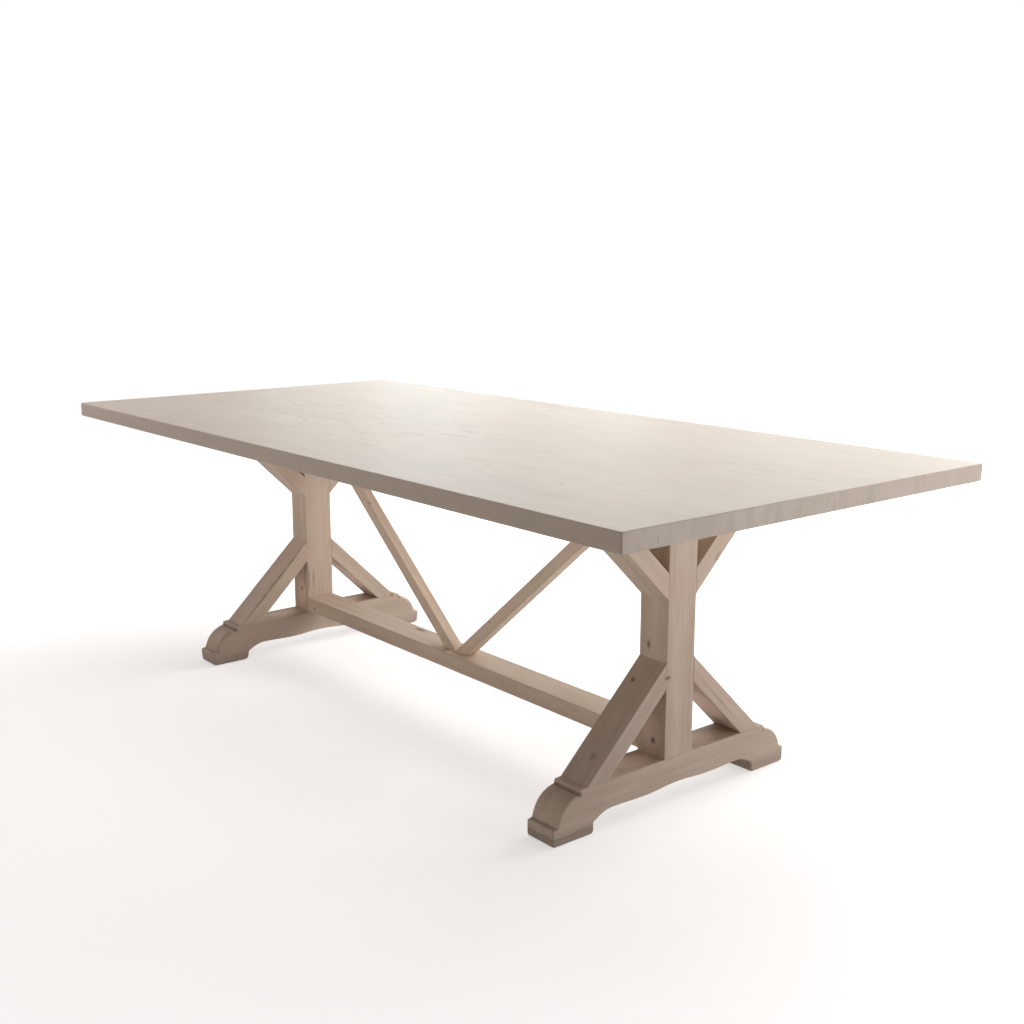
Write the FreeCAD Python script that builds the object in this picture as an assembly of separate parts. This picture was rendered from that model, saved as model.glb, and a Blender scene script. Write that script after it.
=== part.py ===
import FreeCAD, Part
import math
import os

# Trestle dining table, in millimetres.
# Frame: origin on the floor under the middle of the top, +X along the length, +Z up.
# The right trestle stands at +X and the left one mirrors it; "front" is the -Y side.

# ---- Driving dimensions -------------------------------------------------------------

TABLE_HEIGHT = 762.0
OVERHANG = 366.0               # end of the top to the outer face of a trestle

BOARD_LENGTH = 2342.0
BOARD_WIDTH = 183.5
BOARDS_PER_SIDE = 3            # on each side of the middle joint
TOP_THICKNESS = 40.0
TOP_EASING = 3.0               # round on every outer edge of the top

SPLINE_THICKNESS = 8.0
GROOVE_DEPTH = 12.0            # in each of the two boards that a spline joins
SPLINE_STOP = 60.0             # grooves end this far inside the ends of the top
SPLINE_GAP = 0.5               # spline's edge to the bottom of its groove

TIMBER_DEPTH = 85.0            # along X: foot, post, braces and bearer are all flush
POST_WIDTH = 88.0
BRACE_THICKNESS = 44.0

BEARER_THICKNESS = 45.0
BEARER_REACH = 91.0            # past the outermost joint between boards
BEARER_TAPER = 120.0           # length of the sloping underside at each end
BEARER_TIP = 18.0              # thickness left at each end

LOWER_BRACE_RISE = 224.0       # up the post, above the foot
LOWER_BRACE_REACH = 232.0      # along the foot, from the face of the post
UPPER_BRACE_DROP = 201.0       # down the post, below the bearer
UPPER_BRACE_REACH = 208.0      # along the bearer, from the face of the post

FOOT_LENGTH = 744.0
FOOT_HEIGHT = 110.0
PAD_LENGTH = 117.0
PAD_INNER_HEIGHT = 25.0        # upright inner face of a pad
LEDGE_HEIGHT = 40.0            # upright outer end, up to the ledge
LEDGE_WIDTH = 13.0
QUIRK_INSET = 75.0             # end of the foot to the small step above the ovolo
QUIRK_HEIGHT = 10.0
OVOLO_SWELL = 15.0             # middle of the ovolo, off the chord between its ends
SHOULDER_INSET = 56.0          # inner face of a pad to the underside's outer crest
SHOULDER_HEIGHT = 45.0
HOLLOW_OFFSET = 105.0          # middle of the foot to the lowest point of the wave
HOLLOW_HEIGHT = 42.5
CREST_HEIGHT = 47.5            # underside at the middle of the foot

STRETCHER_THICKNESS = 43.0
STRETCHER_CLEARANCE = 113.5    # floor to its underside
STRUT_THICKNESS = 32.0         # square to its slope
STRUT_DEPTH = 32.0             # along Y

TENON_SHOULDER = 8.0           # brace's edge to the tenon's edge
TENON_END_GAP = 1.0            # end of a tenon to the bottom of its mortise
TENON_THICKNESS = 28.0
BRACE_TENON_LENGTH = 20.0
POST_TENON_WIDTH = 60.0
POST_FOOT_TENON = 44.0
POST_HEAD_TENON = 30.0
STRETCHER_TENON_LENGTH = 35.0
STRETCHER_TENON_WIDTH = 60.0
STRETCHER_TENON_THICKNESS = 25.0

SCREW_DIAMETER = 5.0
SCREW_HEAD_ACROSS = 8.0        # across the flats of the hexagon
SCREW_HEAD_HEIGHT = 3.5
SCREW_POINT = 5.0              # length of the tapered end
SCREW_HOLE_GAP = 0.3           # all round the shank, and round the head's corners
SCREW_TIP_GAP = 1.0
BEARER_SCREW_LENGTH = 50.0
BEARER_SCREW_SEAT = 25.0       # wood between the screw's head and the boards
OUTER_SCREW_INSET = 36.0       # outermost joint to the outer screws of a bearer
INNER_SCREW_INSET = 92.0       # middle joint to its inner screws
STRUT_FOOT_SCREW_LENGTH = 55.0
STRUT_FOOT_SCREW_SEAT = 35.0   # wood between the head and the strut
STRUT_FOOT_SCREW_INSET = 36.0  # middle of the stretcher to the screw
STRUT_HEAD_SCREW_LENGTH = 28.0
STRUT_HEAD_SCREW_SEAT = 15.0   # wood between the head and the boards
STRUT_HEAD_SCREW_INSET = 26.0  # bearer to the screw
STRUT_HEAD_SCREW_SIDE = 8.0    # middle joint to the screw, which keeps clear of that joint

# ---- Places that follow -------------------------------------------------------------

half_length = BOARD_LENGTH / 2
half_width = BOARD_WIDTH * BOARDS_PER_SIDE
outer_joint = BOARD_WIDTH * (BOARDS_PER_SIDE - 1)
top_underside = TABLE_HEIGHT - TOP_THICKNESS
bearer_underside = top_underside - BEARER_THICKNESS
trestle_outer = half_length - OVERHANG
trestle_inner = trestle_outer - TIMBER_DEPTH
trestle_middle = trestle_outer - TIMBER_DEPTH / 2
post_side = POST_WIDTH / 2
stretcher_top = STRETCHER_CLEARANCE + STRETCHER_THICKNESS
screw_head_corner = SCREW_HEAD_ACROSS / math.sqrt(3)

X_AXIS = FreeCAD.Vector(1, 0, 0)
Y_AXIS = FreeCAD.Vector(0, 1, 0)
Z_AXIS = FreeCAD.Vector(0, 0, 1)
ORIGIN = FreeCAD.Vector(0, 0, 0)


# ---- Small tools --------------------------------------------------------------------

def block(low, high):
    """Rectangular solid between two corners."""
    sides = [b - a for a, b in zip(low, high)]
    return Part.makeBox(*sides, FreeCAD.Vector(*low))


def line(start, end):
    return Part.LineSegment(start, end).toShape()


def arc(start, end, swell, side):
    """Circular arc whose middle stands off its chord by swell, towards the vector side."""
    chord = end - start
    across = side - chord * (side.dot(chord) / chord.Length ** 2)
    return Part.Arc(start, (start + end) / 2 + across.normalize() * swell, end).toShape()


def level_arc(start, end, side):
    """Circular arc that bulges towards side, up or down, and is level at that end."""
    chord = end - start
    slope = math.asin(abs(chord.z) / chord.Length)
    return arc(start, end, chord.Length / 2 * math.tan(slope / 2), side)


def prism(edges, travel):
    """Solid swept along the vector travel from one closed flat outline."""
    return Part.Face(Part.Wire(edges)).extrude(travel)


def polygon_prism(points, travel):
    corners = points[1:] + points[:1]
    return prism([line(a, b) for a, b in zip(points, corners)], travel)


def trestle_point(y, z):
    """Point on the inner face of the right trestle, where its outlines are drawn."""
    return FreeCAD.Vector(trestle_inner, y, z)


def mirrored(shape, axis):
    return shape.mirror(ORIGIN, axis)


def both_ways(shape, axis):
    return [shape, mirrored(shape, axis)]


def tenon_and_mortise(low, high, axis, sense):
    """Tenon that fills low..high, and the mortise that takes it with room at its end."""
    deep_low = list(low)
    deep_high = list(high)
    if sense > 0:
        deep_high[axis] += TENON_END_GAP
    else:
        deep_low[axis] -= TENON_END_GAP
    return block(low, high), block(deep_low, deep_high)


# ---- Joints of the right trestle ----------------------------------------------------

def brace_corners(z_post, z_seat, reach):
    """Corners (y, z) of a back brace: far ones on the post and the seat, then near ones."""
    rise = z_seat - z_post
    length = math.hypot(rise, reach)
    seat_width = BRACE_THICKNESS * length / abs(rise)
    post_height = math.copysign(BRACE_THICKNESS * length / reach, rise)
    outer = post_side + reach
    return [(post_side, z_post), (outer, z_seat),
            (outer - seat_width, z_seat), (post_side, z_post + post_height)]


def brace_joints(z_post, z_seat, reach):
    """Stub tenons of a back brace, into the post and into its seat, with their mortises."""
    post_edge, outer, inner, post_far = brace_corners(z_post, z_seat, reach)
    x_low = trestle_middle - TENON_THICKNESS / 2
    x_high = trestle_middle + TENON_THICKNESS / 2
    z_low = min(post_edge[1], post_far[1]) + TENON_SHOULDER
    z_high = max(post_edge[1], post_far[1]) - TENON_SHOULDER
    into_post = tenon_and_mortise(
        (x_low, post_side - BRACE_TENON_LENGTH, z_low), (x_high, post_side, z_high), 1, -1)
    sense = 1 if z_seat > z_post else -1
    seat_low = min(z_seat, z_seat + sense * BRACE_TENON_LENGTH)
    into_seat = tenon_and_mortise(
        (x_low, inner[0] + TENON_SHOULDER, seat_low),
        (x_high, outer[0] - TENON_SHOULDER, seat_low + BRACE_TENON_LENGTH), 2, sense)
    return into_post, into_seat


lower_brace = (FOOT_HEIGHT + LOWER_BRACE_RISE, FOOT_HEIGHT, LOWER_BRACE_REACH)
upper_brace = (bearer_underside - UPPER_BRACE_DROP, bearer_underside, UPPER_BRACE_REACH)
lower_into_post, lower_into_foot = brace_joints(*lower_brace)
upper_into_post, upper_into_bearer = brace_joints(*upper_brace)


def post_joint(z_low, z_high, sense):
    """Tenon at one end of the post, and its mortise."""
    low = (trestle_middle - TENON_THICKNESS / 2, -POST_TENON_WIDTH / 2, z_low)
    high = (trestle_middle + TENON_THICKNESS / 2, POST_TENON_WIDTH / 2, z_high)
    return tenon_and_mortise(low, high, 2, sense)


post_into_foot = post_joint(FOOT_HEIGHT - POST_FOOT_TENON, FOOT_HEIGHT, -1)
post_into_bearer = post_joint(bearer_underside, bearer_underside + POST_HEAD_TENON, 1)

stretcher_middle = STRETCHER_CLEARANCE + STRETCHER_THICKNESS / 2
stretcher_into_post = tenon_and_mortise(
    (trestle_inner, -STRETCHER_TENON_WIDTH / 2, stretcher_middle - STRETCHER_TENON_THICKNESS / 2),
    (trestle_inner + STRETCHER_TENON_LENGTH, STRETCHER_TENON_WIDTH / 2,
     stretcher_middle + STRETCHER_TENON_THICKNESS / 2), 0, 1)


# ---- Screws -------------------------------------------------------------------------

def screw(x, y, z_seat, length):
    """Hexagon-headed wood screw, driven upwards, its head seated against the level z_seat."""
    seat = FreeCAD.Vector(x, y, z_seat)
    spoke = X_AXIS * screw_head_corner
    turns = [FreeCAD.Rotation(Z_AXIS, 60 * corner) for corner in range(6)]
    head = polygon_prism([seat + turn.multVec(spoke) for turn in turns], Z_AXIS * -SCREW_HEAD_HEIGHT)
    shank_end = seat + Z_AXIS * (length - SCREW_POINT)
    shank = Part.makeCylinder(SCREW_DIAMETER / 2, length - SCREW_POINT, seat)
    point = Part.makeCone(SCREW_DIAMETER / 2, 0, SCREW_POINT, shank_end)
    return head.fuse([shank, point])


def screw_hole(x, y, z_seat, length, z_mouth):
    """Clearance hole for the shank, with a flat-bottomed well for the head from z_mouth up."""
    shank = SCREW_DIAMETER / 2 + SCREW_HOLE_GAP
    well = screw_head_corner + SCREW_HOLE_GAP
    hole = Part.makeCylinder(shank, length + SCREW_TIP_GAP, FreeCAD.Vector(x, y, z_seat))
    return hole.fuse(Part.makeCylinder(well, z_seat - z_mouth, FreeCAD.Vector(x, y, z_mouth)))


bearer_screw_places = [(x, side * y, top_underside - BEARER_SCREW_SEAT, BEARER_SCREW_LENGTH)
                       for x in (-trestle_middle, trestle_middle)
                       for side in (-1, 1)
                       for y in (INNER_SCREW_INSET, outer_joint + OUTER_SCREW_INSET)]
strut_head_places = [(side * (trestle_inner - STRUT_HEAD_SCREW_INSET), STRUT_HEAD_SCREW_SIDE,
                      top_underside - STRUT_HEAD_SCREW_SEAT, STRUT_HEAD_SCREW_LENGTH)
                     for side in (-1, 1)]
strut_foot_places = [(side * STRUT_FOOT_SCREW_INSET, 0.0,
                      stretcher_top - STRUT_FOOT_SCREW_SEAT, STRUT_FOOT_SCREW_LENGTH)
                     for side in (-1, 1)]


# ---- Top ----------------------------------------------------------------------------

def joint_lines():
    """Y of every joint between two boards, from front to back."""
    return [BOARD_WIDTH * step for step in range(1 - BOARDS_PER_SIDE, BOARDS_PER_SIDE)]


def top_boards():
    """The eased slab, parted into boards, grooved for the splines and bored for the screws."""
    slab = block((-half_length, -half_width, top_underside), (half_length, half_width, TABLE_HEIGHT))
    slab = slab.makeFillet(TOP_EASING, slab.Edges)
    groove_end = half_length - SPLINE_STOP
    middle = top_underside + TOP_THICKNESS / 2
    cutters = [block((-groove_end, y - GROOVE_DEPTH, middle - SPLINE_THICKNESS / 2),
                     (groove_end, y + GROOVE_DEPTH, middle + SPLINE_THICKNESS / 2)) for y in joint_lines()]
    cutters += [screw_hole(*place, place[2] - SCREW_HEAD_HEIGHT)
                for place in bearer_screw_places + strut_head_places]
    slab = slab.cut(cutters)
    boards = []
    for y_joint in [-half_width] + joint_lines():
        boards.append(slab.common(block((-half_length, y_joint, top_underside),
                                        (half_length, y_joint + BOARD_WIDTH, TABLE_HEIGHT))))
    return boards


def splines():
    """Loose tongues, one in the grooves of each joint."""
    middle = top_underside + TOP_THICKNESS / 2
    half = GROOVE_DEPTH - SPLINE_GAP
    end = half_length - SPLINE_STOP - SPLINE_GAP
    return [block((-end, y - half, middle - SPLINE_THICKNESS / 2),
                  (end, y + half, middle + SPLINE_THICKNESS / 2)) for y in joint_lines()]


# ---- Right trestle ------------------------------------------------------------------

def ogee(start, end):
    """Two tangent arcs that meet half way and are level at start and at end."""
    middle = (start + end) / 2
    side = Z_AXIS * (start.z - end.z)
    return [level_arc(start, middle, side), level_arc(middle, end, -side)]


def foot_outline():
    """Half of the foot's outline, from the crest of its underside to the middle of its top."""
    end = FOOT_LENGTH / 2
    pad = end - PAD_LENGTH
    crest = trestle_point(0, CREST_HEIGHT)
    hollow = trestle_point(HOLLOW_OFFSET, HOLLOW_HEIGHT)
    shoulder = trestle_point(pad - SHOULDER_INSET, SHOULDER_HEIGHT)
    pad_top = trestle_point(pad, PAD_INNER_HEIGHT)
    ledge_out = trestle_point(end, LEDGE_HEIGHT)
    ledge_in = trestle_point(end - LEDGE_WIDTH, LEDGE_HEIGHT)
    quirk_low = trestle_point(end - QUIRK_INSET, FOOT_HEIGHT - QUIRK_HEIGHT)
    quirk_high = trestle_point(end - QUIRK_INSET, FOOT_HEIGHT)

    edges = ogee(crest, hollow) + ogee(hollow, shoulder)
    edges.append(level_arc(shoulder, pad_top, Z_AXIS))
    corners = [pad_top, trestle_point(pad, 0), trestle_point(end, 0), ledge_out, ledge_in]
    edges += [line(a, b) for a, b in zip(corners, corners[1:])]
    edges.append(arc(ledge_in, quirk_low, OVOLO_SWELL, Z_AXIS))
    edges += [line(quirk_low, quirk_high), line(quirk_high, trestle_point(0, FOOT_HEIGHT))]
    return edges


def foot():
    """Foot beam: a pad at each end, quirked ovolo ends and a serpentine underside."""
    half = foot_outline()
    other_half = [mirrored(edge, Y_AXIS) for edge in half]
    beam = prism(Part.sortEdges(half + other_half)[0], X_AXIS * TIMBER_DEPTH)
    return beam.cut(both_ways(lower_into_foot[1], Y_AXIS) + [post_into_foot[1]])


def post():
    """Post, tenoned into the foot and the bearer, mortised for the braces and stretcher."""
    body = block((trestle_inner, -post_side, FOOT_HEIGHT), (trestle_outer, post_side, bearer_underside))
    body = body.fuse([post_into_foot[0], post_into_bearer[0]]).removeSplitter()
    mortises = both_ways(lower_into_post[1], Y_AXIS) + both_ways(upper_into_post[1], Y_AXIS)
    return body.cut(mortises + [stretcher_into_post[1]])


def brace(place, joints):
    """Back brace between the post and its seat, with a stub tenon at each end."""
    corners = [trestle_point(y, z) for y, z in brace_corners(*place)]
    body = polygon_prism(corners, X_AXIS * TIMBER_DEPTH)
    return body.fuse([tenon for tenon, mortise in joints]).removeSplitter()


def bearer():
    """Cross batten under the boards, with a sloping underside at each end."""
    end = outer_joint + BEARER_REACH
    tip = top_underside - BEARER_TIP
    heel = end - BEARER_TAPER
    outline = [(-end, top_underside), (-end, tip), (-heel, bearer_underside),
               (heel, bearer_underside), (end, tip), (end, top_underside)]
    batten = polygon_prism([trestle_point(y, z) for y, z in outline], X_AXIS * TIMBER_DEPTH)
    holes = [screw_hole(*place, bearer_underside) for place in bearer_screw_places if place[0] > 0]
    return batten.cut(both_ways(upper_into_bearer[1], Y_AXIS) + [post_into_bearer[1]] + holes)


# ---- Stretcher and struts -----------------------------------------------------------

def stretcher():
    """Flat stretcher, tenoned into both posts and bored for the screws of the struts."""
    board = block((-trestle_inner, -post_side, STRETCHER_CLEARANCE),
                  (trestle_inner, post_side, stretcher_top))
    board = board.fuse(both_ways(stretcher_into_post[0], X_AXIS)).removeSplitter()
    return board.cut([screw_hole(*place, STRETCHER_CLEARANCE) for place in strut_foot_places])


def right_strut():
    """Strut whose upper edge starts at the middle of the stretcher and whose lower edge
    runs into the corner between the bearer and the boards."""
    rise = top_underside - stretcher_top
    angle = math.atan2(rise, trestle_inner) + math.asin(STRUT_THICKNESS / math.hypot(rise, trestle_inner))
    seat = STRUT_THICKNESS / math.sin(angle)
    outline = [(0, stretcher_top), (seat, stretcher_top), (trestle_inner, top_underside),
               (trestle_inner - seat, top_underside)]
    front = [FreeCAD.Vector(x, -STRUT_DEPTH / 2, z) for x, z in outline]
    strut = polygon_prism(front, Y_AXIS * STRUT_DEPTH)
    holes = [screw_hole(*place, STRETCHER_CLEARANCE) for place in strut_foot_places if place[0] > 0]
    holes += [screw_hole(*place, place[2] - STRUT_THICKNESS) for place in strut_head_places if place[0] > 0]
    return strut.cut(holes)


# ---- Assembly -----------------------------------------------------------------------

def trestle_pieces():
    """Pieces of the right trestle by name."""
    pieces = {"foot": foot(), "post": post(), "bearer": bearer()}
    braces = {"lower_brace": brace(lower_brace, (lower_into_post, lower_into_foot)),
              "upper_brace": brace(upper_brace, (upper_into_post, upper_into_bearer))}
    for name, back in braces.items():
        pieces[name + "_back"] = back
        pieces[name + "_front"] = mirrored(back, Y_AXIS)
    return pieces


nodes = {}
for number, board in enumerate(top_boards(), start=1):
    nodes[f"top_board_{number}"] = board
for number, spline in enumerate(splines(), start=1):
    nodes[f"spline_{number}"] = spline
for name, piece in trestle_pieces().items():
    nodes["right_" + name] = piece
    nodes["left_" + name] = mirrored(piece, X_AXIS)
nodes["stretcher"] = stretcher()
nodes["right_strut"] = right_strut()
nodes["left_strut"] = mirrored(nodes["right_strut"], X_AXIS)
nodes["bearer_screws"] = Part.makeCompound([screw(*place) for place in bearer_screw_places])
nodes["strut_foot_screws"] = Part.makeCompound([screw(*place) for place in strut_foot_places])
nodes["strut_head_screws"] = Part.makeCompound([screw(*place) for place in strut_head_places])

os.makedirs("parts", exist_ok=True)
for name, shape in nodes.items():
    shape.exportStep(f"parts/{name}.step")
    print(name, len(shape.Solids), "solids", round(shape.Volume / 1000, 1), "cm3", shape.isValid())
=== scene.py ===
import math
import random
from collections import namedtuple
from functools import partial

import bmesh
import bpy
from mathutils import Matrix, Vector, noise


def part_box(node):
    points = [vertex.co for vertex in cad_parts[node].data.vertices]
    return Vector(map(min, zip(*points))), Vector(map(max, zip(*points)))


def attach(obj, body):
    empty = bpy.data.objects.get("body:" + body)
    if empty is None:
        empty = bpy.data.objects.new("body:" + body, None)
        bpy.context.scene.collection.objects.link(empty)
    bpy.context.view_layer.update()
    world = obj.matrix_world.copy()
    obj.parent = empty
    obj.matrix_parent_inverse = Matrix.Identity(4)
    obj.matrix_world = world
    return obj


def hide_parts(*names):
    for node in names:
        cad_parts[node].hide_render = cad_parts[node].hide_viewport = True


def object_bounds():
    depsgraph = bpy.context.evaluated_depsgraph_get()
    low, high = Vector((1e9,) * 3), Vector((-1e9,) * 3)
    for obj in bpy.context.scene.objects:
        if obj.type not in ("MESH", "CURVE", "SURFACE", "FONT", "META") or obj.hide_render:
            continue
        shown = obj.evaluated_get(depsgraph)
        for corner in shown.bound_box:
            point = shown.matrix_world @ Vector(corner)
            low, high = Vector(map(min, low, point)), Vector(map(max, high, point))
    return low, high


# Trestle dining table in bleached knotty pine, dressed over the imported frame. Metres: X along the
# table's length, Y from its front side to its back one, Z up.

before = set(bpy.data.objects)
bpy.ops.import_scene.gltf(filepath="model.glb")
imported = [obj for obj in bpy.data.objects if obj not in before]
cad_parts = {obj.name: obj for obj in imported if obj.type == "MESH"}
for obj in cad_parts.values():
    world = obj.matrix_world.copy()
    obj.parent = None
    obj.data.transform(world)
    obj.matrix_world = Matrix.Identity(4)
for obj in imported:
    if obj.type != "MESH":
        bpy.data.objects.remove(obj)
cad_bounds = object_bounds()

BODY = "root"
BOARDS = 6
X, Y, Z = 0, 1, 2
AXES = (Vector((1, 0, 0)), Vector((0, 1, 0)), Vector((0, 0, 1)))
SAME_PLACE = 1e-5

# Edges
ARRIS = 0.0018              # easing of the timbers' long edges
TOP_ARRIS = 0.003           # easing of the outer edges of the top
SEAM_ARRIS = 0.00025        # easing along the joints between the boards
ARRIS_WEAR = 0.0004         # how far hand sanding has taken the eased edges in
WEAR_SCALE = 38.0           # and how unevenly, in waves per metre
WANE_WIDTH = 0.020          # widest piece of bark edge left on an arris, on each face

# The feet's moulded ends, which are worn rounder than the rest
FOOT_ENDS = {               # easing of their edges, and radii of their outer and inner corners
    "right": (0.0048, (0.009, 0.005)),
    "left": (0.0105, (0.013, 0.007)),
}
END_BLEND = (0.232, 0.246)  # where the one easing turns into the other, out from the foot's middle,
END_SLANT = 0.4             # and how much further out that is for each metre of height
LINK_SHARE = 0.48           # most of a link that the rounding at one of its ends may take
ROOM_SHARE = 0.85           # most of the room inside a corner that the easing there may take
EASING_SLOPE = 0.22         # how fast the easing may change along an outline

# Fineness of the meshes
ARRIS_SEGMENTS = 3
ARC_STEPS = 6
EASING_STEPS = 5
STRAIGHT_STEP = 0.024       # longest piece of a straight edge, so that wear can move it
WANE_STEP = 0.006
CURVE_STEP = 0.004
CURVE_LINK = 0.060          # a longer link of an outline is a straight edge
NO_TURN = math.radians(0.5)
CORNER_TURN = math.radians(20)
SHARP_TURN = math.radians(32)
PARALLEL = 0.999            # the cosine past which two directions count as one

# Wells of the hidden screws
WELL_GAP = 0.0003           # between a screw head's corners and the wall of its well
WELL_START = 0.01           # how far below the wood the tool that cuts it starts
WELL_SIDES = 40
RIM_SHARE = 0.9             # of a head's radius, past which its points are on its rim

# Where a piece was cut from its tree
PITH_REACH = 0.045          # usual distance from the heart of the tree to the middle of a timber
BOARD_PITH_REACH = 0.075    # the same for a board
PITH_SPREAD = (0.6, 1.3)    # shares of it that the distance keeps between
TRUNK_REACH = 7             # how far up or down the trunk it may come from
BOARD_SHADES = (0.985, 1.015)   # how light the boards are beside each other


# ---- Outlines and solids ------------------------------------------------------------

def turn_at(before, point, after):
    """Angle by which an outline turns at a point."""
    return (point - before).angle(after - point)


def node_bmesh(node):
    """A CAD node's mesh as a bmesh, its faces joined up."""
    bm = bmesh.new()
    bm.from_mesh(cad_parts[node].data)
    bmesh.ops.remove_doubles(bm, verts=bm.verts, dist=SAME_PLACE)
    return bm


def cap_outline(node, axis):
    """Corner points of the flat face at the far end of a CAD node along axis, anticlockwise as seen
    from beyond it."""
    bm = node_bmesh(node)
    far = max(v.co[axis] for v in bm.verts)
    cap = {f for f in bm.faces if all(abs(v.co[axis] - far) < SAME_PLACE for v in f.verts)}
    links = {}
    for edge in {e for f in cap for e in f.edges}:
        if len(cap.intersection(edge.link_faces)) == 1:
            a, b = edge.verts
            links.setdefault(a, []).append(b)
            links.setdefault(b, []).append(a)
    start = min(links, key=lambda v: tuple(v.co))
    ahead, behind = links[start]
    if (ahead.co - start.co).cross(behind.co - start.co)[axis] < 0:
        ahead = behind
    loop = [start, ahead]
    while loop[-1] is not start:
        a, b = links[loop[-1]]
        loop.append(b if a is loop[-2] else a)
    points = [v.co.copy() for v in loop[:-1]]
    bm.free()
    count = len(points)
    return [points[i] for i in range(count)
            if turn_at(points[i - 1], points[i], points[(i + 1) % count]) > NO_TURN]


def curve_point(a, b, c, d, t):
    """Point on the Catmull-Rom curve between b and c."""
    return 0.5 * (2 * b + (c - a) * t + (2 * a - 5 * b + 4 * c - d) * t ** 2
                  + (3 * b - a - 3 * c + d) * t ** 3)


def round_corners(corners, radii, axis):
    """The outline with arcs for its corners: radii are those of the outer and of the inner ones."""
    count = len(corners)
    rounded = []
    for i in range(count):
        before, corner, after = corners[i - 1], corners[i], corners[(i + 1) % count]
        turn = turn_at(before, corner, after)
        if turn < CORNER_TURN:
            rounded.append(corner)
            continue
        side = (corner - before).cross(after - corner)
        radius = radii[side[axis] < 0]
        back, on = before - corner, after - corner
        setback = min(radius * math.tan(turn / 2), LINK_SHARE * min(back.length, on.length))
        back.normalize()
        on.normalize()
        middle = corner + (back + on).normalized() * setback / math.sin(turn / 2)
        spoke = corner + back * setback - middle
        sweep = Matrix.Rotation(math.copysign(turn / ARC_STEPS, side[axis]), 3, AXES[axis])
        for _ in range(ARC_STEPS + 1):
            rounded.append(middle + spoke)
            spoke = sweep @ spoke
    return rounded


def fine_outline(corners, straight_step=STRAIGHT_STEP):
    """The outline in small steps, its curved runs rounded. Gives its points, and for each of them
    whether it is a corner."""
    count = len(corners)
    links = [(corners[(i + 1) % count] - corners[i]) for i in range(count)]
    sharp = [turn_at(corners[i - 1], corners[i], corners[(i + 1) % count]) > CORNER_TURN
             or max(links[i - 1].length, links[i].length) > CURVE_LINK for i in range(count)]
    points, is_corner = [], []
    for i in range(count):
        a, b, c, d = (corners[(i + k) % count] for k in (-1, 0, 1, 2))
        straight = sharp[i] and sharp[(i + 1) % count]
        if sharp[i]:
            a = 2 * b - c
        if sharp[(i + 1) % count]:
            d = 2 * c - b
        steps = math.ceil((c - b).length / (straight_step if straight else CURVE_STEP))
        for step in range(steps):
            t = step / steps
            points.append(b.lerp(c, t) if straight else curve_point(a, b, c, d, t))
            is_corner.append(step == 0 and sharp[i])
    return points, is_corner


def prism(points, axis, depth):
    """Solid that runs from the outline's plane back by depth along axis. Gives the bmesh, its
    rings of vertices from far to near, and leaves both ends as single faces."""
    bm = bmesh.new()
    layers = max(2, math.ceil(depth / STRAIGHT_STEP))
    rings = []
    for layer in range(layers + 1):
        shift = AXES[axis] * (depth * layer / layers)
        rings.append([bm.verts.new(p - shift) for p in points])
    count = len(points)
    for far, near in zip(rings, rings[1:]):
        for i in range(count):
            k = (i + 1) % count
            bm.faces.new((far[i], far[k], near[k], near[i]))
    close_ends(bm, rings)
    return bm, rings


def close_ends(bm, rings):
    """Adds the two end faces to a solid of rings and turns all its faces outwards."""
    bm.faces.new(rings[0])
    bm.faces.new(rings[-1])
    bmesh.ops.recalc_face_normals(bm, faces=bm.faces)


def skin(bm, rings):
    """Solid of rings: faces from each one to the next, and the two ends."""
    for first, second in zip(rings, rings[1:]):
        for i in range(len(first)):
            bm.faces.new((first[i - 1], first[i], second[i], second[i - 1]))
    close_ends(bm, rings)
    bm.normal_update()


def easing_along(points, wanted, axis):
    """Direction into an outline and width of the easing at each of its points: the width wanted
    there, but less where a small outer corner leaves no room for it, and changing gently."""
    count = len(points)
    inward = [AXES[axis].cross(points[(i + 1) % count] - points[i - 1]).normalized()
              for i in range(count)]
    widths = []
    for point, into in zip(points, inward):
        spans = [other - point for other in points]
        room = min(span.length_squared / (2 * span.dot(into)) for span in spans
                   if span.dot(into) > SAME_PLACE)
        widths.append(min(wanted(point), ROOM_SHARE * room))
    for step in (1, -1):
        for i in [*range(count), *range(count)][::step]:
            gap = (points[i] - points[(i - step) % count]).length
            widths[i] = min(widths[i], widths[(i - step) % count] + EASING_SLOPE * gap)
    return inward, widths


def eased_prism(points, inward, widths, axis, depth):
    """Solid that runs from the outline's plane back by depth along axis, with the edges at both
    ends rounded over by the widths and sanded."""
    bm = bmesh.new()
    turns = [math.pi / 2 * k / EASING_STEPS for k in range(EASING_STEPS + 1)]
    layers = math.ceil(depth / STRAIGHT_STEP)
    # Each ring's share of the depth, then its setback and its inset, both in widths
    places = ([(0, 1 - math.cos(a), 1 - math.sin(a)) for a in turns]
              + [(k / layers, 1 - 2 * k / layers, 0) for k in range(1, layers)]
              + [(1, math.cos(a) - 1, 1 - math.sin(a)) for a in reversed(turns)])
    rings = []
    for share, setback, inset in places:
        rings.append([bm.verts.new(point + into * width * inset
                                   - AXES[axis] * (depth * share + width * setback))
                      for point, into, width in zip(points, inward, widths)])
    skin(bm, rings)
    for ring, (_, _, inset) in zip(rings, places):
        if 0 < inset < 1:
            sand(ring)
    return bm


def sand(verts):
    """Takes the vertices of an eased edge in by uneven amounts."""
    for vert in verts:
        vert.co -= vert.normal * ARRIS_WEAR * (0.5 + 0.5 * noise.noise(vert.co * WEAR_SCALE))


def ease(bm, edges):
    """Rounds the edges over by ARRIS, then sands the round."""
    made = bmesh.ops.bevel(bm, geom=edges, offset=ARRIS, offset_type="OFFSET", affect="EDGES",
                           segments=ARRIS_SEGMENTS, profile=0.5, clamp_overlap=True)
    bm.normal_update()
    sand(made["verts"])


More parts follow.
